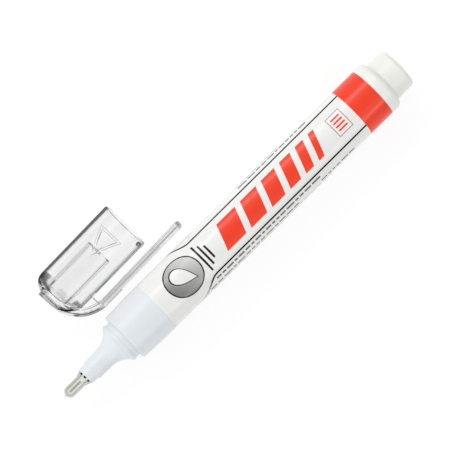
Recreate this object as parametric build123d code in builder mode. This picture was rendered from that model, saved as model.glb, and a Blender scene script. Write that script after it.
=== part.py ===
from build123d import *
from math import asin, cos, degrees, radians, sqrt
import os

# A correction pen that lies beside its cap, in millimetres.
# +X runs from the tip to the tail, +Y towards the cap and +Z up.
# The origin is on the table, under the middle of the pen and cap together.

os.makedirs("parts", exist_ok=True)

# Valve needle
needle_stroke = 0.4
needle_point_diameter = 0.8
needle_rod_diameter = 1.5
needle_collar_diameter = 3.4
needle_collar_length = 0.7
needle_collar_gap = 0.3
needle_tail_diameter = 1.2
needle_tail_margin = 0.8

# Metal tip
tip_diameter = 3.2
tip_length = 6.8
tip_orifice_diameter = 0.9
tip_bore_diameter = 2.2
tip_nose_length = 0.7
valve_seat_length = 0.9
flange_diameter = 4.15
flange_flare_length = 1.35
crimp_rim_length = 0.5
crimp_count = 9
crimp_width = 0.8
crimp_depth = 0.4
shank_diameter = 3.4
shank_length = 6.0

# Front section
nozzle_lip_diameter = 5.4
nozzle_lip_length = 2.4
nozzle_lip_taper = 0.1
nozzle_diameter = 6.2
nozzle_length = 4.8
nozzle_edge = 0.2
flare_length = 5.5
bead_diameter = 12.3
bead_length = 0.6
bead_slope = 0.3
seat_diameter = 12.0
seat_length = 1.4
collar_diameter = 14.9
collar_length = 12.1
collar_edge = 0.25
seam_chamfer = 0.12
plug_length = 7.0
plug_wall = 1.2
chamber_diameter = 4.6
chamber_length = 8.0
insert_diameter = 6.0
insert_length = 2.5
funnel_length = 3.0

# Return spring and its seat
spring_wire = 0.35
spring_diameter = 3.0
spring_turns = 7
flow_hole_count = 4
flow_hole_diameter = 0.7

# Barrel, label and mixing ball
barrel_diameter = 15.6
barrel_length = 87.4
barrel_wall = 0.95
shoulder_run = 0.9
shoulder_radius = 1.6
shoulder_root_radius = 0.6
tail_diameter = 12.35
tail_length = 6.1
tail_edge_radius = 1.2
tail_end_wall = 1.4
label_thickness = 0.1
label_front_margin = 0.6
label_back_margin = 4.0
ball_diameter = 5.0
ball_station = 45.0

# Cap shell
cap_mouth_diameter = 14.75
cap_end_diameter = 14.55
cap_length = 29.1
cap_end_wall = 1.6
cap_dome_radius = 4.0
cap_inner_radius = 3.4
cap_mouth_edge = 0.2
snap_setback = 0.5
snap_length = 1.3
snap_arc = 40
snap_side = 180
seal_wall = 0.85
seal_setback = 10.3
seal_groove_depth = 0.5
seal_lead = 0.25

# Clip, its gusset and the raised triangle
clip_width = 7.0
clip_thickness = 1.5
clip_gap = 2.6
clip_lean = 0.2
clip_overhang = 10.6
clip_bend_radius = 11.5
mould_overlap = 0.15
strap_overlap = 0.6
clip_rise = 3.7
clip_end_radius = 2.0
clip_edge = 0.3
gusset_thickness = 1.2
gusset_length = 8.2
mark_base = 7.6
mark_height = 8.4
mark_line = 0.8
mark_setback = 4.8
mark_relief = 0.3
mark_slope = 0.2

# Where the cap lies: behind the place it is pushed on to, beside the barrel, turned and rolled a little
cap_drawback = 21.8
cap_spacing = 2.5
cap_yaw = 1.3
cap_roll = 7.5

# Clearances
press_clearance = 0.01
plug_clearance = 0.03
guide_clearance = 0.1
valve_clearance = 0.04
ball_clearance = 0.05
spring_clearance = 0.03
label_clearance = 0.01
bead_clearance = 0.4
snap_clearance = 0.075
seal_clearance = 0.05

# Stations along the pen, from the needle's point
tip_front = needle_stroke
flange_back = tip_front + tip_length
nozzle_front = flange_back + crimp_rim_length
nozzle_step = nozzle_front + nozzle_lip_length
flare_front = nozzle_step + nozzle_length
bead_front = flare_front + flare_length
bead_back = bead_front + bead_length
seat_front = bead_back + bead_slope
collar_front = seat_front + seat_length
barrel_front = collar_front + collar_length
shoulder_root = barrel_front + barrel_length
tail_end = shoulder_root + tail_length
shank_back = nozzle_front + shank_length
chamber_back = shank_back + chamber_length
insert_back = chamber_back + insert_length
plug_back = barrel_front + plug_length

# Radii
barrel_radius = barrel_diameter / 2
barrel_bore_radius = barrel_radius - barrel_wall
tail_radius = tail_diameter / 2
tail_bore_radius = tail_radius - barrel_wall
recess_radius = barrel_radius - label_thickness
plug_radius = barrel_bore_radius - plug_clearance
plug_bore_radius = plug_radius - plug_wall
tip_radius = tip_diameter / 2
orifice_radius = tip_orifice_diameter / 2
shank_radius = shank_diameter / 2
shank_bore_radius = shank_radius + press_clearance
nozzle_radius = nozzle_diameter / 2
bead_radius = bead_diameter / 2
seat_radius = seat_diameter / 2
insert_radius = insert_diameter / 2
cap_mouth_radius = cap_mouth_diameter / 2
cap_end_radius = cap_end_diameter / 2
cap_bore_radius = bead_radius + bead_clearance
snap_radius = seat_radius + snap_clearance
seal_bore_radius = nozzle_radius + seal_clearance
seal_radius = seal_bore_radius + seal_wall
clip_reach = cap_mouth_radius + clip_gap + clip_thickness

# Frames of the pen and of the cap: local X is the axis, from the needle's point and towards the cap's mouth
cap_offset = barrel_radius + cap_spacing + clip_reach
whole_width = barrel_radius + cap_offset + cap_mouth_radius * cos(radians(cap_yaw))
pen_frame = Plane(origin=(-tail_end / 2, barrel_radius - whole_width / 2, barrel_radius))
pen_axis = Axis(pen_frame.origin, pen_frame.x_dir)
cap_height = cap_mouth_radius - barrel_radius
cap_mouth = pen_frame.from_local_coords((collar_front + cap_drawback, cap_offset, cap_height))
cap_turn = Location(cap_mouth, (0, 0, cap_yaw)) * Location((0, 0, 0), (-cap_roll, 0, 0))
cap_frame = Plane(cap_turn)
cap_axis = Axis(cap_frame.origin, cap_frame.x_dir)
cap_rise_axis = Axis(cap_frame.origin, cap_frame.y_dir)


def across(frame, station):
    """Plane square to a frame's axis, at a station along it."""
    origin = frame.from_local_coords((station, 0, 0))
    return Plane(origin=origin, x_dir=frame.y_dir, z_dir=frame.x_dir)


# Squeeze barrel: mouth at the front, label recess, shoulder and closed tail stub
shoulder_top = shoulder_root - shoulder_run
label_front = barrel_front + label_front_margin
label_back = shoulder_root - label_back_margin
tail_floor = tail_end - tail_end_wall
with BuildPart() as barrel:
    with BuildSketch(pen_frame):
        with BuildLine():
            FilletPolyline(
                (tail_end, 0),
                (tail_end, tail_radius),
                (shoulder_root, tail_radius),
                (shoulder_top, barrel_radius),
                (label_back, barrel_radius),
                radius=(tail_edge_radius, shoulder_root_radius, shoulder_radius),
            )
            Polyline(
                (label_back, barrel_radius),
                (label_back, recess_radius),
                (label_front, recess_radius),
                (label_front, barrel_radius),
                (barrel_front + seam_chamfer, barrel_radius),
                (barrel_front, barrel_radius - seam_chamfer),
                (barrel_front, barrel_bore_radius),
                (shoulder_top - barrel_wall, barrel_bore_radius),
                (shoulder_root - barrel_wall, tail_bore_radius),
                (tail_floor, tail_bore_radius),
                (tail_floor, 0),
                (tail_end, 0),
            )
        make_face()
    revolve(axis=pen_axis)
barrel.part.label = "barrel"
export_step(barrel.part, "parts/barrel.step")

# Label film, let into the recess flush with the barrel
label_inner_radius = recess_radius + label_clearance
with BuildPart() as label:
    with BuildSketch(pen_frame):
        with BuildLine():
            Polyline(
                (label_front + label_clearance, label_inner_radius),
                (label_front + label_clearance, barrel_radius),
                (label_back - label_clearance, barrel_radius),
                (label_back - label_clearance, label_inner_radius),
                close=True,
            )
        make_face()
    revolve(axis=pen_axis)
label.part.label = "label"
export_step(label.part, "parts/label.step")

# Front section: lip, nozzle, flare, snap bead, cap seat and collar outside; valve chamber and funnel inside
lip_radius = nozzle_lip_diameter / 2
collar_radius = collar_diameter / 2
chamber_radius = chamber_diameter / 2
insert_bore_radius = insert_radius + press_clearance
collar_edge_back = (collar_front + collar_edge, collar_radius)
collar_rear = (barrel_front - seam_chamfer, barrel_radius)
with BuildPart() as front_section:
    with BuildSketch(pen_frame):
        with BuildLine():
            Polyline(
                (nozzle_front, shank_bore_radius),
                (nozzle_front, lip_radius - nozzle_lip_taper),
                (nozzle_step, lip_radius),
                (nozzle_step, nozzle_radius - nozzle_edge),
                (nozzle_step + nozzle_edge, nozzle_radius),
                (flare_front, nozzle_radius),
            )
            TangentArc((flare_front, nozzle_radius), (bead_front, bead_radius), tangent=(1, 0))
            Polyline(
                (bead_front, bead_radius),
                (bead_back, bead_radius),
                (seat_front, seat_radius),
                (collar_front, seat_radius),
                (collar_front, collar_radius - collar_edge),
                collar_edge_back,
            )
            TangentArc(collar_rear, collar_edge_back, tangent=(-1, 0))
            Polyline(
                collar_rear,
                (barrel_front, barrel_radius - seam_chamfer),
                (barrel_front, plug_radius),
                (plug_back, plug_radius),
                (plug_back, plug_bore_radius),
                (insert_back + funnel_length, plug_bore_radius),
                (insert_back, insert_bore_radius),
                (chamber_back, insert_bore_radius),
                (chamber_back, chamber_radius),
                (shank_back, chamber_radius),
                (shank_back, shank_bore_radius),
                (nozzle_front, shank_bore_radius),
            )
        make_face()
    revolve(axis=pen_axis)
front_section.part.label = "front_section"
export_step(front_section.part, "parts/front_section.step")

# Metal tip: round nose with its orifice and valve seat, flared flange, crimped rim, and shank in the nozzle
nose_centre = tip_front + sqrt(tip_radius**2 - orifice_radius**2)
nose_sweep = 90 - degrees(asin(orifice_radius / tip_radius))
flange_radius = flange_diameter / 2
tip_bore_radius = tip_bore_diameter / 2
valve_seat_front = tip_front + tip_nose_length
valve_seat_back = valve_seat_front + valve_seat_length
with BuildPart() as metal_tip:
    with BuildSketch(pen_frame):
        with BuildLine():
            CenterArc((nose_centre, 0), tip_radius, start_angle=90, arc_size=nose_sweep)
            Polyline(
                (nose_centre, tip_radius),
                (flange_back - flange_flare_length, tip_radius),
                (flange_back, flange_radius),
                (nozzle_front, flange_radius),
                (nozzle_front, shank_radius),
                (shank_back, shank_radius),
                (shank_back, tip_bore_radius),
                (valve_seat_back, tip_bore_radius),
                (valve_seat_front, orifice_radius),
                (tip_front, orifice_radius),
            )
        make_face()
    revolve(axis=pen_axis)
    with BuildSketch(across(pen_frame, flange_back)):
        with PolarLocations(flange_radius, crimp_count, start_angle=90):
            Rectangle(2 * crimp_depth, crimp_width)
    extrude(amount=crimp_rim_length, mode=Mode.SUBTRACT)
metal_tip.part.label = "metal_tip"
export_step(metal_tip.part, "parts/metal_tip.step")

# Valve needle: point through the orifice, cone on the valve seat, collar for the spring, tail in its guide
point_radius = needle_point_diameter / 2
rod_radius = needle_rod_diameter / 2
needle_tail_radius = needle_tail_diameter / 2
needle_collar_radius = needle_collar_diameter / 2
seat_slope = valve_seat_length / (tip_bore_radius - orifice_radius)
cone_front = valve_seat_front + valve_clearance - (orifice_radius - point_radius) * seat_slope
cone_back = cone_front + (rod_radius - point_radius) * seat_slope
needle_collar_front = shank_back + needle_collar_gap
needle_collar_back = needle_collar_front + needle_collar_length
with BuildPart() as valve_needle:
    with BuildSketch(pen_frame):
        with BuildLine():
            CenterArc((point_radius, 0), point_radius, start_angle=90, arc_size=90)
            Polyline(
                (point_radius, point_radius),
                (cone_front, point_radius),
                (cone_back, rod_radius),
                (needle_collar_front, rod_radius),
                (needle_collar_front, needle_collar_radius),
                (needle_collar_back, needle_collar_radius),
                (needle_collar_back, needle_tail_radius),
                (insert_back - needle_tail_margin, needle_tail_radius),
                (insert_back - needle_tail_margin, 0),
                (0, 0),
            )
        make_face()
    revolve(axis=pen_axis)
valve_needle.part.label = "valve_needle"
export_step(valve_needle.part, "parts/valve_needle.step")

# Return spring, from the needle's collar to the spring seat
spring_mean_radius = (spring_diameter - spring_wire) / 2
spring_front = needle_collar_back + spring_wire / 2 + spring_clearance
spring_height = chamber_back - spring_wire / 2 - spring_clearance - spring_front
with BuildPart() as valve_spring:
    with BuildLine() as coil:
        Helix(
            pitch=spring_height / spring_turns,
            height=spring_height,
            radius=spring_mean_radius,
            center=pen_frame.from_local_coords((spring_front, 0, 0)),
            direction=pen_frame.x_dir,
        )
    with BuildSketch(Plane(origin=coil.line @ 0, z_dir=coil.line % 0)):
        Circle(spring_wire / 2)
    sweep(is_frenet=True)
valve_spring.part.label = "valve_spring"
export_step(valve_spring.part, "parts/valve_spring.step")

# Spring seat: a bush with the needle's guide hole and flow holes round it
guide_radius = needle_tail_radius + guide_clearance
flow_circle = chamber_radius - flow_hole_diameter / 2
with BuildPart() as spring_seat:
    with BuildSketch(across(pen_frame, chamber_back)):
        Circle(insert_radius)
        Circle(guide_radius, mode=Mode.SUBTRACT)
        with PolarLocations(flow_circle, flow_hole_count):
            Circle(flow_hole_diameter / 2, mode=Mode.SUBTRACT)
    extrude(amount=insert_length)
spring_seat.part.label = "spring_seat"
export_step(spring_seat.part, "parts/spring_seat.step")

# Mixing ball, at the bottom of the barrel
ball_radius = ball_diameter / 2
ball_drop = barrel_bore_radius - ball_clearance - ball_radius
with BuildPart() as mixing_ball:
    with Locations(pen_frame.from_local_coords((barrel_front + ball_station, 0, -ball_drop))):
        Sphere(ball_radius)
mixing_ball.part.label = "mixing_ball"
export_step(mixing_ball.part, "parts/mixing_ball.step")

# Clip: over the cap's end, round the bend and along past the mouth, with a gusset in the bend
strap_outer = -cap_length - clip_thickness + strap_overlap
bend_x = strap_outer + clip_bend_radius
bend_y = clip_bend_radius - clip_reach
bend_inner_radius = clip_bend_radius - clip_thickness
gusset_width = gusset_length + clip_thickness
gusset_height = clip_reach - cap_bore_radius - mould_overlap
with BuildPart() as clip:
    with BuildSketch(cap_frame):
        with BuildLine():
            Line((strap_outer, clip_rise), (strap_outer, bend_y))
            CenterArc((bend_x, bend_y), clip_bend_radius, start_angle=180, arc_size=90)
            Polyline(
                (bend_x, -clip_reach),
                (clip_overhang, clip_lean - clip_reach),
                (clip_overhang, clip_lean + clip_thickness - clip_reach),
                (bend_x, clip_thickness - clip_reach),
            )
            CenterArc((bend_x, bend_y), bend_inner_radius, start_angle=180, arc_size=90)
            Polyline(
                (strap_outer + clip_thickness, bend_y),
                (strap_outer + clip_thickness, clip_rise),
                (strap_outer, clip_rise),
            )
        make_face()
    extrude(amount=clip_width / 2, both=True)
    free_end = clip.faces().sort_by(cap_axis)[-1]
    fillet(free_end.edges().filter_by(cap_rise_axis), radius=clip_end_radius)
    strap_end = clip.faces().sort_by(cap_rise_axis)[-1]
    fillet(strap_end.edges().filter_by(cap_axis), radius=clip_end_radius)
    clip_sides = clip.faces().sort_by(Axis(cap_frame.origin, cap_frame.z_dir))
    side_edges = clip_sides[0].edges() + clip_sides[-1].edges()
    fillet(side_edges.filter_by(lambda edge: edge.length > clip_thickness), radius=clip_edge)
    with BuildSketch(cap_frame):
        with Locations((bend_x, bend_y)):
            Circle(clip_bend_radius - clip_thickness / 2)
        with Locations((strap_outer + gusset_width / 2, gusset_height / 2 - clip_reach)):
            Rectangle(gusset_width, gusset_height, mode=Mode.INTERSECT)
    extrude(amount=gusset_thickness / 2, both=True)

# Raised triangle on the side of the cap that lies uppermost
mark_radius = cap_mouth_radius + mark_relief
with BuildPart() as mark:
    with BuildSketch(cap_frame):
        with BuildLine():
            Polyline(
                (-mark_setback, -mark_base / 2),
                (-mark_setback, mark_base / 2),
                (-mark_setback - mark_height, 0),
                close=True,
            )
        make_face()
        offset(amount=-mark_line, mode=Mode.SUBTRACT)
    extrude(amount=mark_radius)
    with BuildSketch(across(cap_frame, -cap_length)):
        Circle(mark_radius)
        Circle(cap_bore_radius + mould_overlap, mode=Mode.SUBTRACT)
    extrude(amount=cap_length, mode=Mode.INTERSECT)
    mark_face = mark.faces().sort_by(Axis(cap_frame.origin, cap_frame.z_dir))[-1]
    chamfer(mark_face.edges(), length=mark_slope)

# Cap shell: domed end and long bore, with the clip and the triangle moulded on.
# The seal's groove is cut in its floor, and a snap lug stands inside its mouth on the clip's side.
cap_floor = cap_end_wall - cap_length
snap_back = snap_setback + snap_length
snap_middle = snap_setback + snap_length / 2
with BuildPart() as cap_shell:
    with BuildSketch(cap_frame):
        with BuildLine():
            FilletPolyline(
                (0, cap_bore_radius),
                (0, cap_mouth_radius),
                (-cap_length, cap_end_radius),
                (-cap_length, 0),
                (cap_floor, 0),
                (cap_floor, cap_bore_radius),
                (-snap_back, cap_bore_radius),
                radius=(cap_mouth_edge, cap_dome_radius, 0, 0, cap_inner_radius),
            )
            Line((-snap_back, cap_bore_radius), (0, cap_bore_radius))
        make_face()
    revolve(axis=cap_axis)
    add(clip.part)
    add(mark.part)
    with BuildSketch(across(cap_frame, cap_floor - seal_groove_depth)):
        Circle(seal_radius + press_clearance)
        Circle(seal_bore_radius - press_clearance, mode=Mode.SUBTRACT)
    extrude(amount=seal_groove_depth + cap_inner_radius, mode=Mode.SUBTRACT)
    with BuildSketch(cap_frame.rotated((snap_side - snap_arc / 2, 0, 0))):
        with BuildLine():
            lug = ThreePointArc(
                (-snap_back, cap_bore_radius),
                (-snap_middle, snap_radius),
                (-snap_setback, cap_bore_radius),
            )
            Polyline(
                lug @ 1,
                (-snap_setback, cap_bore_radius + mould_overlap),
                (-snap_back, cap_bore_radius + mould_overlap),
                lug @ 0,
            )
        make_face()
    revolve(axis=cap_axis, revolution_arc=snap_arc)
cap_shell.part.label = "cap_shell"
export_step(cap_shell.part, "parts/cap_shell.step")

# Sealing sleeve, set in the groove of the cap's floor
seal_back = cap_floor - seal_groove_depth + press_clearance
with BuildPart() as cap_seal:
    with BuildSketch(cap_frame):
        with BuildLine():
            Polyline(
                (seal_back, seal_bore_radius),
                (seal_back, seal_radius),
                (-seal_setback, seal_radius),
                (-seal_setback, seal_bore_radius + seal_lead),
                (-seal_setback - seal_lead, seal_bore_radius),
                close=True,
            )
        make_face()
    revolve(axis=cap_axis)
cap_seal.part.label = "cap_seal"
export_step(cap_seal.part, "parts/cap_seal.step")
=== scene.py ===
from math import ceil, cos, pi, radians, sin, sqrt, tan
from random import Random

import bmesh
import bpy
from mathutils import Matrix, Vector


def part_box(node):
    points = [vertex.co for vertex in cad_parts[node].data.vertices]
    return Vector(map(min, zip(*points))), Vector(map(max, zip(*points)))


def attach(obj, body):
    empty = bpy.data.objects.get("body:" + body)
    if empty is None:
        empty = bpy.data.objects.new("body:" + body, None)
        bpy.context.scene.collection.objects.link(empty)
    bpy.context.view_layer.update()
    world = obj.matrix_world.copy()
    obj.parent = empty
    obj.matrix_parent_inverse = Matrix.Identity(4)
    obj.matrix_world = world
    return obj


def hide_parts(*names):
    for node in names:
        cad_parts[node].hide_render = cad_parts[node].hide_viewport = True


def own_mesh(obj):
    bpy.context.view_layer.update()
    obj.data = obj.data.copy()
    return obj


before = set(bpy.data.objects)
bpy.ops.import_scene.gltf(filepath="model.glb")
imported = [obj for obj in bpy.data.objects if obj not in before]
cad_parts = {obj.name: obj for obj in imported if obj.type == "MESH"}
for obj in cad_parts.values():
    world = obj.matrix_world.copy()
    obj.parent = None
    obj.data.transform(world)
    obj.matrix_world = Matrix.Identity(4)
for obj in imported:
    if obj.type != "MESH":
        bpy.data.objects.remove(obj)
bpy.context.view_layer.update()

mm = 0.001

# Places on the pen, read from the solids: +X runs from the tip to the tail, and +Y towards the cap
label_low, label_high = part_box("label")
film_radius = (label_high.z - label_low.z) / 2
pen_y = (label_low.y + label_high.y) / 2
pen_z = (label_low.z + label_high.z) / 2

# The middle of the cap's mouth, and the cap's turn on the table
cap_mouth = Vector((-19.65, 11.101, 7.375)) * mm
cap_yaw = radians(1.3)

# Painted shade on the clear plastic: places where its base colour turns dark, standing in for the dark edges
# that refraction shows. In millimetres: from and to along the cap, from and to across it, and from and to in
# distance from its axis. The last number is how dark the painted shade is, from 0 to 1.
shell_painted_shade = (
    # The raised triangle's flanks
    (-9.9, -4, -8, 8, 7.41, 7.66, 0.55),
    # The ends of the gusset and the clip, and a line along the clip
    (-20.65, -20.25, -11, 0, 7.6, 10.7, 0.55),
    (9.4, 10.8, -14, 0, 9, 14, 0.8),
    (-20, 10.4, -10.72, -10.47, 10, 14, 0.75),
    # The strap over the dome, and its upper end
    (-30.5, -28.4, -2, 2.6, 0, 5, 0.1),
    (-30.5, -27.7, 2.6, 4, 0, 5.5, 0.7),
    # The dome's lower and upper corners, its end wall and a mark inside it
    (-27, -23.9, -7.3, -4.9, 0, 7.4, 0.25),
    (-26.5, -24.1, 4.9, 6.9, 0, 7.4, 0.34),
    (-27.5, -27.05, -4.8, 0.2, 0, 7.4, 0.22),
    (-27, -25.2, -2.4, 0.9, 0, 7.4, 0.12),
    # The outer edge of the clip's bend, in four short steps
    (-21.4, -19.8, -11.7, -10.75, 8.5, 14, 0.6),
    (-23, -21.4, -11.5, -10.4, 8.5, 14, 0.6),
    (-24.5, -23, -11, -9.6, 8.5, 14, 0.6),
    (-25.8, -24.5, -10.2, -8.7, 8.5, 14, 0.4),
)
sleeve_painted_shade = (
    # The mouth, and the two long sides
    (-10.6, -10.2, -0.6, 2.5, 3, 5, 0.65),
    (-24.2, -10.2, 3.25, 4.1, 0, 5, 0.26),
    (-24.2, -10.2, -4.2, -3.5, 0, 5, 0.2),
)

# The metal tip's crimped rim: where it lies along the pen, and how far out its notches end. Inside that
# radius on the rim, shade is painted dark into the notches.
rim_front = -56.98 * mm
rim_back = -56.42 * mm
notch_radius = 2.04 * mm

# How textures behave: noise's usual middle range, the length after which the wave texture repeats at a scale
# of 1, and where a colour mix has its two colours and its result among its sockets
noise_low = 0.3
noise_high = 0.7
wave_period = pi / 10
mix_first = 6
mix_second = 7
mix_result = 2

# Tones of the clear plastic, the black of its painted shade, the light it takes up inside, and how strongly
# the film mirrors
painted_shade_black = (0.0, 0.0, 0.0)
shell_tone = (0.95, 0.95, 0.95)
sleeve_tone = (1.0, 1.0, 1.0)
taken_up = (0.5, 0.51, 0.51, 1.0)
film_gloss = 0.35

# Points closer than this are one point, in print and in the disc, and turns sharper than this are edges
weld = 0.001 * mm
fine_weld = 0.0001 * mm
sharp_turn = radians(40)

# Print: its steps round the film, how deep it is rooted in the film and how far it stands out
print_step = 0.5 * mm
print_root = 0.012 * mm
print_height = 0.015 * mm
layer_height = 0.025 * mm
overlap_height = 0.05 * mm

# Red band at the label's end
band_width = 8.18 * mm
band_margin = 0.01 * mm
band_steps = 136

# Panel lines, which run along the label and flare apart towards its front edge
panel_turn = radians(5.6)
panel_half = radians(46.3)
panel_open = radians(105)
line_width = 0.58 * mm
flare_line_width = 0.8 * mm
flare_back = -11.3 * mm
flare_length = 11.4 * mm
line_steps = 160

# Grey disc with a drop on it. The disc's tone fades along a line, which starts a share of its radius before
# the middle.
disc_x = -18.79 * mm
disc_turn = radians(4.3)
disc_radius = 5.9 * mm
disc_line = 0.38 * mm
disc_rings = 12
disc_steps = 96
fade_aim = radians(40)
fade_start = 0.8
drop_length = 7.6 * mm
drop_width = 5.9 * mm
drop_point = 1.3
drop_aim = radians(-42)
drop_line = 0.12

# Three dark rules beside the disc
rule_x = (-11.75 * mm, -10.35 * mm, -8.95 * mm)
rule_lengths = (9.2 * mm, 6.8 * mm, 4.4 * mm)
rule_width = 0.6 * mm

# Slanted red bars, each narrower than the last
bars_front = -3.85 * mm
bar_widths = (7 * mm, 6 * mm, 5 * mm, 4 * mm, 3 * mm, 2 * mm)
bar_gap = 2 * mm
bar_low = radians(-22.8)
bar_high = radians(33.8)
bar_lean = radians(20)

# Small page with lines, before the red band
page_x = 40.86 * mm
page_turn = radians(4.8)
page_width = 5.0 * mm
page_height = 6.4 * mm
page_line = 0.22 * mm
writing_length = 3.2 * mm
writing_width = 0.5 * mm
writing_pitch = 1.15 * mm
writing_rows = 4

# Rows of small print as plain dashes: the turn from the top, the start and the end
print_rows = (
    (radians(-52.2), -12.4 * mm, 24.5 * mm),
    (radians(-68.4), -15.5 * mm, 18.1 * mm),
    (radians(-68.4), 26.9 * mm, 37.8 * mm),
    (radians(-84), -17.0 * mm, 30.0 * mm),
    (radians(-100), -10.0 * mm, 34.0 * mm),
    (radians(67.4), 9.0 * mm, 35.0 * mm),
    (radians(83), 8.7 * mm, 24.3 * mm),
    (radians(99), 8.7 * mm, 34.0 * mm),
)
print_size = 0.7 * mm
print_seed = 7
word_lengths = (0.9 * mm, 3.2 * mm)
word_gap = 0.5 * mm

# The film's overlap, on the side away from the view
overlap_turn = radians(-128)
overlap_width = 3 * mm

# The picture's view: how the pen lies in it, and how much of the table it takes in
view_turn = radians(44.7)
view_tilt = radians(4.5)
view_width = 123.3 * mm
view_aim = Vector((-0.29, -8.44, 7.8)) * mm
camera_distance = 1.2
camera_reach = 10.0
sensor_width = 36.0

# Soft light all round, and how it grows towards the tip and the cap's side
ambient = 0.8
ambient_slope = (-0.3, 0.25, 0.0)

# Two long soft lamps: how far off and how long they are, then for each its name, its lean from straight
# above towards +Y, its width and its power
lamp_distance = 0.8
lamp_length = 0.6
lamps = (
    ("key_lamp", radians(46), 0.15, 1.35),
    ("fill_lamp", radians(-56), 0.14, 0.95),
)

# What mirrors see at heights from the horizon to straight above, as on the metal tip, and the level at which
# the curve that holds it ends
mirrored_sky = ((0.0, 0.5), (0.35, 0.7), (0.62, 1.1), (0.8, 1.3), (0.94, 0.6), (1.0, 0.36))
sky_scale = 2.0

# The table: half its width, the tone of its paper, and its own white with the share that it has of the whole
table_half = 2.0
paper_tone = (0.9, 0.9, 0.9, 1.0)
table_glow = 1.05
glow_share = 0.8

# Painted shade on the table in dark patches, which only mirrors and clear plastic see, so that the cap shows
# dark edges. In millimetres: from and to along the cap, from and to across it, and how soft the edges are.
# The last number is how dark the patch is, from 0 to 1.
painted_shade_through_two_walls = (
    (-50, 9, 11.8, 26, 1.4, 0.97),
    (-50, -23.3, 4.5, 15, 3.2, 0.88),
    (-28, 10, -14.2, -8.8, 0.6, 0.75),
    (-46, -24, -23.5, -4.8, 1.5, 0.75),
)
painted_shade_past_the_shell = (
    (-50, 9, 7.8, 26, 0.5, 0.85),
    (-50, -23.3, 4.5, 15, 3.2, 0.88),
    (-30, 3, -14.2, -8.4, 0.4, 0.85),
    (-46, -24, -23.5, -4.8, 1.5, 0.75),
)
painted_shade_past_the_clip = (
    (-50, 9, 7.8, 26, 0.5, 0.95),
    (-33, -26, -3, 5, 0.6, 0.3),
    (-28, -19.5, -13.5, -10.8, 0.4, 0.3),
    (-18.5, 12, -15, -13.6, 0.2, 0.2),
    (-18.5, 12, -10.25, -8, 0.2, 0.8),
)
painted_shade_mirrored = (
    (-50, 9, 8, 26, 0.6, 0.75),
    (-30, -12.5, -14, -8, 0.6, 0.85),
    (-14, 12, -11.4, -8, 0.5, 0.8),
    (-49, -35, -32, -10, 2, 0.5),
)

# Light that leaves the clip meets the table sooner than light that leaves the shell's sides, and light that
# has gone through one wall has crossed two surfaces
clip_reach = 8.5 * mm
through_one_wall = 2.5


# Nodes

def add(tree, kind, **settings):
    """One node, with its settings and the values of its sockets."""
    node = tree.nodes.new(kind)
    for key, value in settings.items():
        if key in node.inputs:
            node.inputs[key].default_value = value
        else:
            setattr(node, key, value)
    return node


def feed(tree, value, socket):
    """Gives a socket its value, which is a number or comes from another socket."""
    if isinstance(value, float):
        socket.default_value = value
    else:
        tree.links.new(value, socket)


def calculate(tree, operation, first, second=0.0):
    """One sum of two values, each a socket or a number."""
    node = add(tree, "ShaderNodeMath", operation=operation)
    feed(tree, first, node.inputs[0])
    feed(tree, second, node.inputs[1])
    return node.outputs["Value"]


def between(tree, value, start, end):
    """1 where a value lies between two numbers, and 0 elsewhere."""
    past_start = calculate(tree, "GREATER_THAN", value, start)
    before_end = calculate(tree, "LESS_THAN", value, end)
    return calculate(tree, "MULTIPLY", past_start, before_end)


def away(tree, first, second):
    """The distance from an axis, given two distances at right angles."""
    squares = [calculate(tree, "POWER", value, 2.0) for value in (first, second)]
    return calculate(tree, "SQRT", calculate(tree, "ADD", *squares))


def change(tree, value, start, end, low, high, course="LINEAR"):
    """A value that goes from low to high as another goes from start to end."""
    node = add(tree, "ShaderNodeMapRange", interpolation_type=course)
    for key, number in zip(("From Min", "From Max", "To Min", "To Max"), (start, end, low, high)):
        node.inputs[key].default_value = number
    tree.links.new(value, node.inputs["Value"])
    return node.outputs["Result"]


def step(tree, value, start, end):
    """A soft step from 0 to 1 as a value goes from start to end, which may be the lower of the two."""
    return change(tree, value, start, end, 0.0, 1.0, "SMOOTHSTEP")


def choose(tree, factor, first, second):
    """The first of two values where the factor is 0, and the second where it is 1."""
    node = add(tree, "ShaderNodeMix", data_type="FLOAT")
    for key, value in zip(("Factor", "A", "B"), (factor, first, second)):
        tree.links.new(value, node.inputs[key])
    return node.outputs["Result"]


def blend(tree, factor, first, second):
    """The first of two shaders where the factor is 0, and the second where it is 1."""
    node = add(tree, "ShaderNodeMixShader")
    for socket, value in zip(node.inputs, (factor, first, second)):
        feed(tree, value, socket)
    return node.outputs["Shader"]


def place(tree):
    """The piece's own coordinates, in metres."""
    return add(tree, "ShaderNodeTexCoord").outputs["Object"]


def split(tree, vector):
    """The X, Y and Z of a vector."""
    node = add(tree, "ShaderNodeSeparateXYZ")
    tree.links.new(vector, node.inputs["Vector"])
    return node.outputs["X"], node.outputs["Y"], node.outputs["Z"]


def dot(tree, vector, direction):
    """How far a vector goes in a direction."""
    node = add(tree, "ShaderNodeVectorMath", operation="DOT_PRODUCT")
    tree.links.new(vector, node.inputs[0])
    node.inputs[1].default_value = direction
    return node.outputs["Value"]


def cap_place(tree):
    """Places along, across and above the cap's axis, in metres from the middle of its mouth."""
    turned = add(tree, "ShaderNodeMapping", vector_type="TEXTURE")
    turned.inputs["Location"].default_value = cap_mouth
    turned.inputs["Rotation"].default_value = (0.0, 0.0, cap_yaw)
    tree.links.new(place(tree), turned.inputs["Vector"])
    return split(tree, turned.outputs["Vector"])


def noise(tree, scale, detail=3.0):
    """Noise in the piece's own coordinates. A scale of 1000 has grains of about a millimetre."""
    texture = add(tree, "ShaderNodeTexNoise", Scale=scale, Detail=detail)
    tree.links.new(place(tree), texture.inputs["Vector"])
    return texture.outputs["Fac"]


# Materials

def linear(red, green, blue):
    """A colour given as it shows on a screen, from 0 to 255, in linear light."""
    shares = [value / 255 for value in (red, green, blue)]
    return tuple(s / 12.92 if s <= 0.04045 else ((s + 0.055) / 1.055) ** 2.4 for s in shares)


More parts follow.
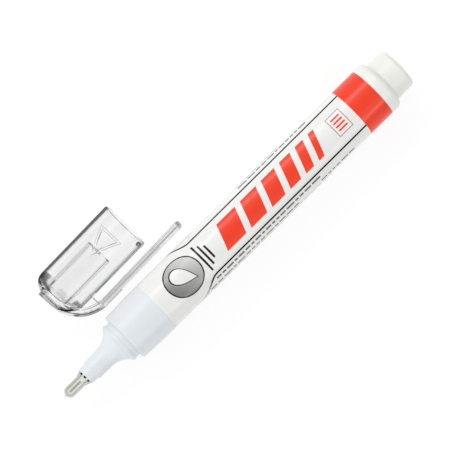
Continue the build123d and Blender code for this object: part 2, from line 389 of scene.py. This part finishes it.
def shade(colour, factor):
    """A lighter or darker tone of a colour."""
    return tuple(min(1.0, part * factor) for part in colour)


def new_material(name):
    """A node material with its shader, ready to be wired."""
    material = bpy.data.materials.new(name)
    material.use_nodes = True
    tree = material.node_tree
    return material, tree, tree.nodes["Principled BSDF"]


def tones(tree, value, low, high, start=noise_low, end=noise_high):
    """A colour that moves between two tones as a value goes from start to end."""
    node = add(tree, "ShaderNodeValToRGB")
    for element, position, tone in zip(node.color_ramp.elements, (start, end), (low, high)):
        element.position = position
        element.color = (*tone, 1.0)
    tree.links.new(value, node.inputs["Fac"])
    return node.outputs["Color"]


def clouds(tree, colour, scale, low, high):
    """A colour that drifts between two tones of itself."""
    return tones(tree, noise(tree, scale), shade(colour, low), shade(colour, high))


def polish(tree, shader, value, low, high):
    """Roughness that goes from low to high over the usual middle range of a texture."""
    roughness = change(tree, value, noise_low, noise_high, low, high)
    tree.links.new(roughness, shader.inputs["Roughness"])


def relief(tree, shader, value, depth, strength):
    """Fine relief of the surface, in metres of depth."""
    bump = add(tree, "ShaderNodeBump", Distance=depth, Strength=strength)
    tree.links.new(value, bump.inputs["Height"])
    tree.links.new(bump.outputs["Normal"], shader.inputs["Normal"])


def darken(tree, shader, colour, factor, dark):
    """A base colour that gives way to a dark one as a factor goes from 0 to 1."""
    mix = add(tree, "ShaderNodeMix", data_type="RGBA")
    tree.links.new(factor, mix.inputs["Factor"])
    tree.links.new(colour, mix.inputs[mix_first])
    mix.inputs[mix_second].default_value = (*dark, 1.0)
    tree.links.new(mix.outputs[mix_result], shader.inputs["Base Color"])


def moulded(name, colour, roughness, grain):
    """Moulded plastic: faint clouds of tone, uneven sheen and the fine texture of the mould."""
    material, tree, shader = new_material(name)
    tone = clouds(tree, colour, scale=160.0, low=0.98, high=1.015)
    tree.links.new(tone, shader.inputs["Base Color"])
    polish(tree, shader, noise(tree, scale=900.0), low=roughness - 0.04, high=roughness + 0.04)
    relief(tree, shader, noise(tree, grain), depth=0.015 * mm, strength=0.2)
    return material


def turned_metal(name, colour, roughness, pitch):
    """Turned metal with fine tool rings across the axis."""
    material, tree, shader = new_material(name)
    shader.inputs["Metallic"].default_value = 1.0
    tone = clouds(tree, colour, scale=700.0, low=0.93, high=1.04)
    tree.links.new(tone, shader.inputs["Base Color"])
    wave = add(tree, "ShaderNodeTexWave", Scale=wave_period / pitch, Distortion=0.4, Detail=2.0)
    tree.links.new(place(tree), wave.inputs["Vector"])
    rings = wave.outputs["Fac"]
    polish(tree, shader, rings, low=roughness - 0.05, high=roughness + 0.07)
    relief(tree, shader, rings, depth=0.004 * mm, strength=0.3)
    return material


def metal_with_notch_shade(name, colour, roughness, pitch, dark):
    """Turned metal whose rim notches get painted shade: a dark base colour out to the notches' radius."""
    material = turned_metal(name, colour, roughness, pitch)
    tree = material.node_tree
    shader = tree.nodes["Principled BSDF"]
    along, across, upward = split(tree, place(tree))
    across = calculate(tree, "SUBTRACT", across, pen_y)
    upward = calculate(tree, "SUBTRACT", upward, pen_z)
    inside = calculate(tree, "LESS_THAN", away(tree, across, upward), notch_radius)
    # Painted shade in the notches: inside their radius on the rim, the base colour turns dark
    notch_shade = calculate(tree, "MULTIPLY", inside, between(tree, along, rim_front, rim_back))
    bright = shader.inputs["Base Color"].links[0].from_socket
    darken(tree, shader, bright, notch_shade, dark)
    return material


def painted_edge_shade(tree, edges):
    """How dark the painted shade is at each place on the cap: the darkest of the edges there."""
    along, across, upward = cap_place(tree)
    outward = away(tree, across, upward)
    darkest = 0.0
    for back, front, low, high, inner, outer, level in edges:
        edge = level
        for value, start, end in ((along, back, front), (across, low, high), (outward, inner, outer)):
            edge = calculate(tree, "MULTIPLY", between(tree, value, start * mm, end * mm), edge)
        darkest = calculate(tree, "MAXIMUM", edge, darkest)
    return darkest


def clear_plastic(name, colour, roughness, index, density, edges):
    """Clear plastic with an uneven polish and painted shade on its edges, greyer the longer the light's way
    through it.
    """
    material, tree, shader = new_material(name)
    shader.inputs["Transmission Weight"].default_value = 1.0
    shader.inputs["IOR"].default_value = index
    tone = clouds(tree, colour, scale=200.0, low=0.985, high=1.0)
    # Painted shade: the dark boxes along the edges turn the base colour towards black
    darken(tree, shader, tone, painted_edge_shade(tree, edges), painted_shade_black)
    polish(tree, shader, noise(tree, scale=1200.0), low=roughness * 0.6, high=roughness * 1.4)
    relief(tree, shader, noise(tree, scale=300.0), depth=0.01 * mm, strength=0.1)
    grey = add(tree, "ShaderNodeVolumeAbsorption", Color=taken_up, Density=density)
    tree.links.new(grey.outputs["Volume"], tree.nodes["Material Output"].inputs["Volume"])
    return material


def glossy_film(name, colour, roughness=0.24):
    """Printed film: an even colour under a slightly wavy gloss."""
    material, tree, shader = new_material(name)
    tone = clouds(tree, colour, scale=350.0, low=0.985, high=1.01)
    tree.links.new(tone, shader.inputs["Base Color"])
    polish(tree, shader, noise(tree, scale=1500.0), low=roughness - 0.03, high=roughness + 0.03)
    shader.inputs["Specular IOR Level"].default_value = film_gloss
    relief(tree, shader, noise(tree, scale=220.0), depth=0.02 * mm, strength=0.06)
    return material


def faded_film(name, dark, light):
    """Film whose print fades from dark at the disc's lower front to light at its upper back."""
    material = glossy_film(name, light)
    tree = material.node_tree
    shader = tree.nodes["Principled BSDF"]
    fade = dot(tree, place(tree), (sin(fade_aim), cos(fade_aim), 0.0))
    disc_y = pen_y + film_radius * sin(disc_turn)
    middle = disc_x * sin(fade_aim) + disc_y * cos(fade_aim)
    part = change(tree, fade, middle - fade_start * disc_radius, middle + disc_radius, 0.0, 1.0)
    tree.links.new(tones(tree, part, dark, light, 0.0, 1.0), shader.inputs["Base Color"])
    return material


white_film = glossy_film("white_film", linear(236, 237, 234))
red_ink = glossy_film("red_ink", linear(241, 63, 35))
black_ink = glossy_film("black_ink", linear(18, 18, 20))
brown_ink = glossy_film("brown_ink", linear(165, 128, 120))
grey_ink = glossy_film("grey_ink", linear(104, 105, 104))
faded_ink = faded_film("faded_ink", linear(122, 123, 120), linear(212, 213, 210))
finishes = {
    "barrel": moulded("barrel_plastic", linear(236, 237, 231), roughness=0.42, grain=6000.0),
    "label": white_film,
    "front_section": moulded("section_plastic", linear(223, 229, 233), roughness=0.38, grain=7000.0),
    # The metal tip gets painted shade in its rim notches, in the last, dark colour
    "metal_tip": metal_with_notch_shade(
        "tip_metal", linear(214, 215, 206), roughness=0.28, pitch=0.12 * mm, dark=linear(24, 24, 24),
    ),
    "valve_needle": turned_metal("needle_metal", linear(240, 240, 237), roughness=0.45, pitch=0.08 * mm),
    "valve_spring": turned_metal("spring_wire", linear(170, 171, 174), roughness=0.3, pitch=0.3 * mm),
    "spring_seat": moulded("seat_plastic", linear(230, 230, 224), roughness=0.45, grain=5000.0),
    "mixing_ball": turned_metal("ball_steel", linear(196, 197, 200), roughness=0.15, pitch=0.5 * mm),
    # The clear cap's pieces get painted shade along their edges
    "cap_shell": clear_plastic(
        "cap_clear", shell_tone, roughness=0.03, index=1.5, density=10.0, edges=shell_painted_shade,
    ),
    "cap_seal": clear_plastic(
        "seal_clear", sleeve_tone, roughness=0.1, index=1.2, density=5.0, edges=sleeve_painted_shade,
    ),
}
for node, material in finishes.items():
    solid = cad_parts[node]
    solid.data.materials.clear()
    solid.data.materials.append(material)


# Return spring

def finish_piece(name, bm, material):
    """A mesh made into a piece that the pen carries."""
    bmesh.ops.recalc_face_normals(bm, faces=bm.faces)
    for face in bm.faces:
        face.smooth = True
    for edge in bm.edges:
        edge.smooth = edge.calc_face_angle(pi) < sharp_turn
    mesh = bpy.data.meshes.new(name)
    bm.to_mesh(mesh)
    bm.free()
    mesh.materials.append(material)
    piece = bpy.data.objects.new(name, mesh)
    bpy.context.scene.collection.objects.link(piece)
    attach(piece, "pen")
    return piece


def make_spring():
    """The return spring, copied from its solid into a piece of its own that the pen carries."""
    bm = bmesh.new()
    bm.from_mesh(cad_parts["valve_spring"].data)
    bmesh.ops.remove_doubles(bm, verts=bm.verts, dist=weld)
    spring = finish_piece("return_spring", bm, finishes["valve_spring"])
    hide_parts("valve_spring")
    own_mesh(spring)


# Print on the label. It is drawn flat, with the way round the film as Y, and then laid on the film.

def lay(name, bm, material, height=print_height):
    """Flat print given its height, wrapped round the film and finished."""
    bmesh.ops.remove_doubles(bm, verts=bm.verts, dist=weld)
    bmesh.ops.translate(bm, vec=(0.0, 0.0, -print_root), verts=bm.verts)
    raised = bmesh.ops.extrude_face_region(bm, geom=bm.faces[:])["geom"]
    tops = [part for part in raised if isinstance(part, bmesh.types.BMVert)]
    bmesh.ops.translate(bm, vec=(0.0, 0.0, print_root + height), verts=tops)
    for vert in bm.verts:
        turn = vert.co.y / film_radius
        reach = film_radius + vert.co.z
        vert.co = (vert.co.x, pen_y + reach * sin(turn), pen_z + reach * cos(turn))
    finish_piece(name, bm, material)


def patch(bm, start, end, low, high, lean=0.0):
    """A flat rectangle in short steps round the film. A lean slants its ends along the pen."""
    grid = bmesh.ops.create_grid(bm, x_segments=1, y_segments=ceil((high - low) / print_step), size=0.5)
    size = Matrix.Diagonal((end - start, high - low, 1.0, 1.0))
    slant = Matrix.Identity(4)
    slant[0][1] = tan(lean)
    middle = Matrix.Translation(((start + end) / 2, (low + high) / 2, 0.0))
    bmesh.ops.transform(bm, matrix=middle @ slant @ size, verts=grid["verts"])


def disc(bm, inner, outer, rings):
    """A flat disc or ring about the origin."""
    row = [bm.verts.new((inner + (outer - inner) * ring / rings, 0.0, 0.0)) for ring in range(rings + 1)]
    spokes = [bm.edges.new(pair) for pair in zip(row, row[1:])]
    bmesh.ops.spin(
        bm, geom=row + spokes, axis=(0.0, 0.0, 1.0), cent=(0.0, 0.0, 0.0),
        angle=2 * pi, steps=disc_steps, use_merge=True,
    )
    bmesh.ops.remove_doubles(bm, verts=bm.verts, dist=fine_weld)


def centre(bm, x, turn):
    """Moves print from the origin to its place on the label."""
    bmesh.ops.translate(bm, vec=(x, turn * film_radius, 0.0), verts=bm.verts)


def make_red_band():
    """A full ring of red at the label's end."""
    bm = bmesh.new()
    back = label_high.x - band_margin
    front = back - band_width
    inner = pen_z + film_radius - print_root
    outer = pen_z + film_radius + print_height
    corners = [(front, inner), (back, inner), (back, outer), (front, outer)]
    section = [bm.verts.new((x, pen_y, z)) for x, z in corners]
    sides = [bm.edges.new((section[index - 1], section[index])) for index in range(len(section))]
    bmesh.ops.spin(
        bm, geom=section + sides, axis=(1.0, 0.0, 0.0), cent=(0.0, pen_y, pen_z),
        angle=2 * pi, steps=band_steps, use_merge=True,
    )
    finish_piece("red_band", bm, red_ink)


def make_panel_lines():
    """Two thin lines that frame the panel and flare apart towards the front."""
    bm = bmesh.new()
    front = label_low.x + band_margin
    back = label_high.x - band_margin - band_width
    opening = panel_open - panel_half
    for side in (-1, 1):
        grid = bmesh.ops.create_grid(bm, x_segments=line_steps, y_segments=1, size=0.5)
        for vert in grid["verts"]:
            x = front + (back - front) * (vert.co.x + 0.5)
            part = min(1.0, max(0.0, (flare_back - x) / flare_length))
            swell = part * part * (3 - 2 * part)
            slope = 6 * part * (1 - part) * opening * film_radius / flare_length
            turn = panel_turn + side * (panel_half + opening * swell)
            width = (line_width + (flare_line_width - line_width) * swell) * sqrt(1 + slope * slope)
            vert.co = (x, turn * film_radius + vert.co.y * width, 0.0)
    lay("panel_lines", bm, black_ink)


def drop_shape(bm):
    """Turns a flat disc of unit radius into a drop, its point towards the tail and away from the cap."""
    for vert in bm.verts:
        reach = sqrt(vert.co.x ** 2 + vert.co.y ** 2)
        if reach > 0:
            along = vert.co.x / reach
            narrow = sqrt(max(0.0, (1 - along) / 2)) ** drop_point
            vert.co.x *= drop_length / 2
            vert.co.y *= drop_width / 2 * narrow
    bmesh.ops.rotate(bm, cent=(0.0, 0.0, 0.0), matrix=Matrix.Rotation(drop_aim, 3, "Z"), verts=bm.verts)
    centre(bm, disc_x, disc_turn)


def make_disc():
    """The grey disc with its rim, and the white drop with its outline."""
    inside = disc_radius - disc_line
    bm = bmesh.new()
    disc(bm, 0.0, inside, disc_rings)
    centre(bm, disc_x, disc_turn)
    lay("grey_disc", bm, faded_ink)
    bm = bmesh.new()
    disc(bm, inside, disc_radius, 1)
    centre(bm, disc_x, disc_turn)
    lay("disc_rim", bm, black_ink)
    bm = bmesh.new()
    disc(bm, 0.0, 1.0, disc_rings)
    drop_shape(bm)
    lay("drop", bm, white_film, layer_height)
    bm = bmesh.new()
    disc(bm, 1.0, 1.0 + drop_line, 1)
    drop_shape(bm)
    lay("drop_outline", bm, black_ink, layer_height)


def make_rules():
    """Three dark rules, each shorter than the last."""
    bm = bmesh.new()
    middle = disc_turn * film_radius
    for x, length in zip(rule_x, rule_lengths):
        patch(bm, x - rule_width / 2, x + rule_width / 2, middle - length / 2, middle + length / 2)
    lay("dark_rules", bm, black_ink)


def make_bars():
    """Slanted red bars, side by side."""
    bm = bmesh.new()
    front = bars_front
    for width in bar_widths:
        patch(bm, front, front + width, bar_low * film_radius, bar_high * film_radius, bar_lean)
        front += width + bar_gap
    lay("red_bars", bm, red_ink)


def make_page():
    """A small outlined page with red lines on it."""
    middle = page_turn * film_radius
    left = page_x - page_width / 2
    right = page_x + page_width / 2
    low = middle - page_height / 2
    high = middle + page_height / 2
    bm = bmesh.new()
    patch(bm, left, left + page_line, low, high)
    patch(bm, right - page_line, right, low, high)
    patch(bm, left + page_line, right - page_line, low, low + page_line)
    patch(bm, left + page_line, right - page_line, high - page_line, high)
    lay("page_frame", bm, brown_ink)
    bm = bmesh.new()
    start = page_x - writing_length / 2
    for row in range(writing_rows):
        line = middle + (row - (writing_rows - 1) / 2) * writing_pitch
        patch(bm, start, start + writing_length, line - writing_width / 2, line + writing_width / 2)
    lay("page_lines", bm, red_ink)


def make_small_print():
    """Rows of plain dashes, as long as words."""
    dice = Random(print_seed)
    bm = bmesh.new()
    for turn, start, end in print_rows:
        line = turn * film_radius
        front = start
        while front < end:
            back = front + dice.uniform(*word_lengths)
            patch(bm, front, back, line - print_size / 2, line + print_size / 2)
            front = back + word_gap
    lay("small_print", bm, grey_ink)


def make_film_overlap():
    """The strip where the film's end laps over its start."""
    bm = bmesh.new()
    middle = overlap_turn * film_radius
    front = label_low.x + band_margin
    back = label_high.x - band_margin
    patch(bm, front, back, middle - overlap_width / 2, middle + overlap_width / 2)
    lay("film_overlap", bm, white_film, overlap_height)


make_spring()
make_red_band()
make_panel_lines()
make_disc()
make_rules()
make_bars()
make_page()
make_small_print()
make_film_overlap()


# Table, light and camera

def table_shown(tree, painted_patches):
    """White, with painted shade in dark patches beside the cap."""
    along, across, _ = cap_place(tree)
    darkest = 0.0
    # Painted shade: each dark patch lowers the light that mirrors and clear plastic see from the table
    for *lengths, level in painted_patches:
        back, front, low, high, soft = [length * mm for length in lengths]
        painted_patch = level
        for value, start, end in ((along, back, front), (across, low, high)):
            painted_patch = calculate(tree, "MULTIPLY", step(tree, value, start, start + soft), painted_patch)
            painted_patch = calculate(tree, "MULTIPLY", step(tree, value, end, end - soft), painted_patch)
        darkest = calculate(tree, "MAXIMUM", painted_patch, darkest)
    return calculate(tree, "SUBTRACT", 1.0, darkest)


def table_material():
    """White paper, most of it its own light so that the rest takes the shadow, with painted shade in dark
    patches that mirrors and clear plastic see.
    """
    material, tree, shader = new_material("table_white")
    tree.nodes.remove(shader)
    path = add(tree, "ShaderNodeLightPath").outputs
    paper = add(tree, "ShaderNodeBsdfDiffuse", Color=paper_tone).outputs["BSDF"]
    glow = add(tree, "ShaderNodeEmission", Strength=table_glow).outputs["Emission"]
    lit = blend(tree, glow_share, paper, glow)
    direct = blend(tree, path["Is Camera Ray"], paper, lit)
    far = calculate(tree, "GREATER_THAN", path["Ray Length"], clip_reach)
    two_walls = calculate(tree, "GREATER_THAN", path["Transmission Depth"], through_one_wall)
    past_the_clip = table_shown(tree, painted_shade_past_the_clip)
    past_the_shell = table_shown(tree, painted_shade_past_the_shell)
    level = choose(tree, far, past_the_clip, past_the_shell)
    level = choose(tree, two_walls, level, table_shown(tree, painted_shade_through_two_walls))
    level = choose(tree, path["Is Transmission Ray"], table_shown(tree, painted_shade_mirrored), level)
    shown = add(tree, "ShaderNodeEmission")
    tree.links.new(level, shown.inputs["Strength"])
    mirrored = calculate(tree, "MAXIMUM", path["Is Glossy Ray"], path["Is Transmission Ray"])
    surface = blend(tree, mirrored, direct, shown.outputs["Emission"])
    tree.links.new(surface, tree.nodes["Material Output"].inputs["Surface"])
    return material


def make_table():
    """A wide white table top."""
    bm = bmesh.new()
    bmesh.ops.create_grid(bm, x_segments=1, y_segments=1, size=table_half)
    mesh = bpy.data.meshes.new("table_top")
    bm.to_mesh(mesh)
    bm.free()
    mesh.materials.append(table_material())
    table = bpy.data.objects.new("table_top", mesh)
    bpy.context.scene.collection.objects.link(table)


def keep_from_lamps(*nodes):
    """A collection that keeps the lamps' mirror images off these solids."""
    unlit = bpy.data.collections.new("unlit")
    for node in nodes:
        unlit.objects.link(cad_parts[node])
    for member in unlit.collection_objects:
        member.light_linking.link_state = "EXCLUDE"
    return unlit


def softbox(unlit, name, lean, width, power):
    """A long soft lamp beside the pen, leaning from straight above towards +Y by an angle."""
    lamp = bpy.data.lights.new(name, "AREA")
    lamp.shape = "RECTANGLE"
    lamp.size = lamp_length
    lamp.size_y = width
    lamp.energy = power
    lit = bpy.data.objects.new(name, lamp)
    base = Matrix.Translation((0, 0, pen_z))
    leaning = Matrix.Rotation(-lean, 4, "X")
    reach = Matrix.Translation((0, 0, lamp_distance))
    lit.matrix_world = base @ leaning @ reach
    bpy.context.scene.collection.objects.link(lit)
    lit.light_linking.receiver_collection = unlit


def make_room():
    """Soft light, stronger from the cap's side. Clear plastic sees white, and mirrors see their own sky."""
    world = bpy.data.worlds.new("room")
    world.use_nodes = True
    tree = world.node_tree
    path = add(tree, "ShaderNodeLightPath").outputs
    aim = add(tree, "ShaderNodeTexCoord").outputs["Generated"]
    heights = add(tree, "ShaderNodeFloatCurve")
    curve = heights.mapping.curves[0]
    for height, level in mirrored_sky[1:-1]:
        curve.points.new(height, level / sky_scale)
    for point, (height, level) in zip(curve.points, mirrored_sky):
        point.location = (height, level / sky_scale)
    heights.mapping.update()
    upward = split(tree, aim)[2]
    tree.links.new(upward, heights.inputs["Value"])
    glossy = calculate(tree, "MULTIPLY", heights.outputs["Value"], sky_scale)
    soft = calculate(tree, "ADD", dot(tree, aim, ambient_slope), ambient)
    level = choose(tree, path["Is Glossy Ray"], soft, glossy)
    white = calculate(tree, "MAXIMUM", path["Is Camera Ray"], path["Is Transmission Ray"])
    strength = calculate(tree, "MAXIMUM", level, white)
    background = tree.nodes["Background"]
    background.inputs["Color"].default_value = (1.0, 1.0, 1.0, 1.0)
    tree.links.new(strength, background.inputs["Strength"])
    bpy.context.scene.world = world


def make_camera():
    """A long lens almost straight above, turned so that the pen runs up to the right."""
    lens = bpy.data.cameras.new("camera")
    lens.sensor_width = sensor_width
    lens.lens = sensor_width * camera_distance / view_width
    lens.clip_end = camera_reach
    camera = bpy.data.objects.new("camera", lens)
    tilt = Matrix.Rotation(-view_tilt, 4, "Y")
    turn = Matrix.Rotation(-view_turn, 4, "Z")
    back = Matrix.Translation((0, 0, camera_distance))
    camera.matrix_world = Matrix.Translation(view_aim) @ tilt @ turn @ back
    bpy.context.scene.collection.objects.link(camera)
    bpy.context.scene.camera = camera


make_table()
lamps_pass_by = keep_from_lamps("cap_shell", "cap_seal", "metal_tip", "valve_needle")
for node in ("cap_shell", "cap_seal"):
    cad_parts[node].visible_diffuse = False
for lamp in lamps:
    softbox(lamps_pass_by, *lamp)
make_room()
make_camera()
bpy.context.scene.view_settings.view_transform = "Standard"
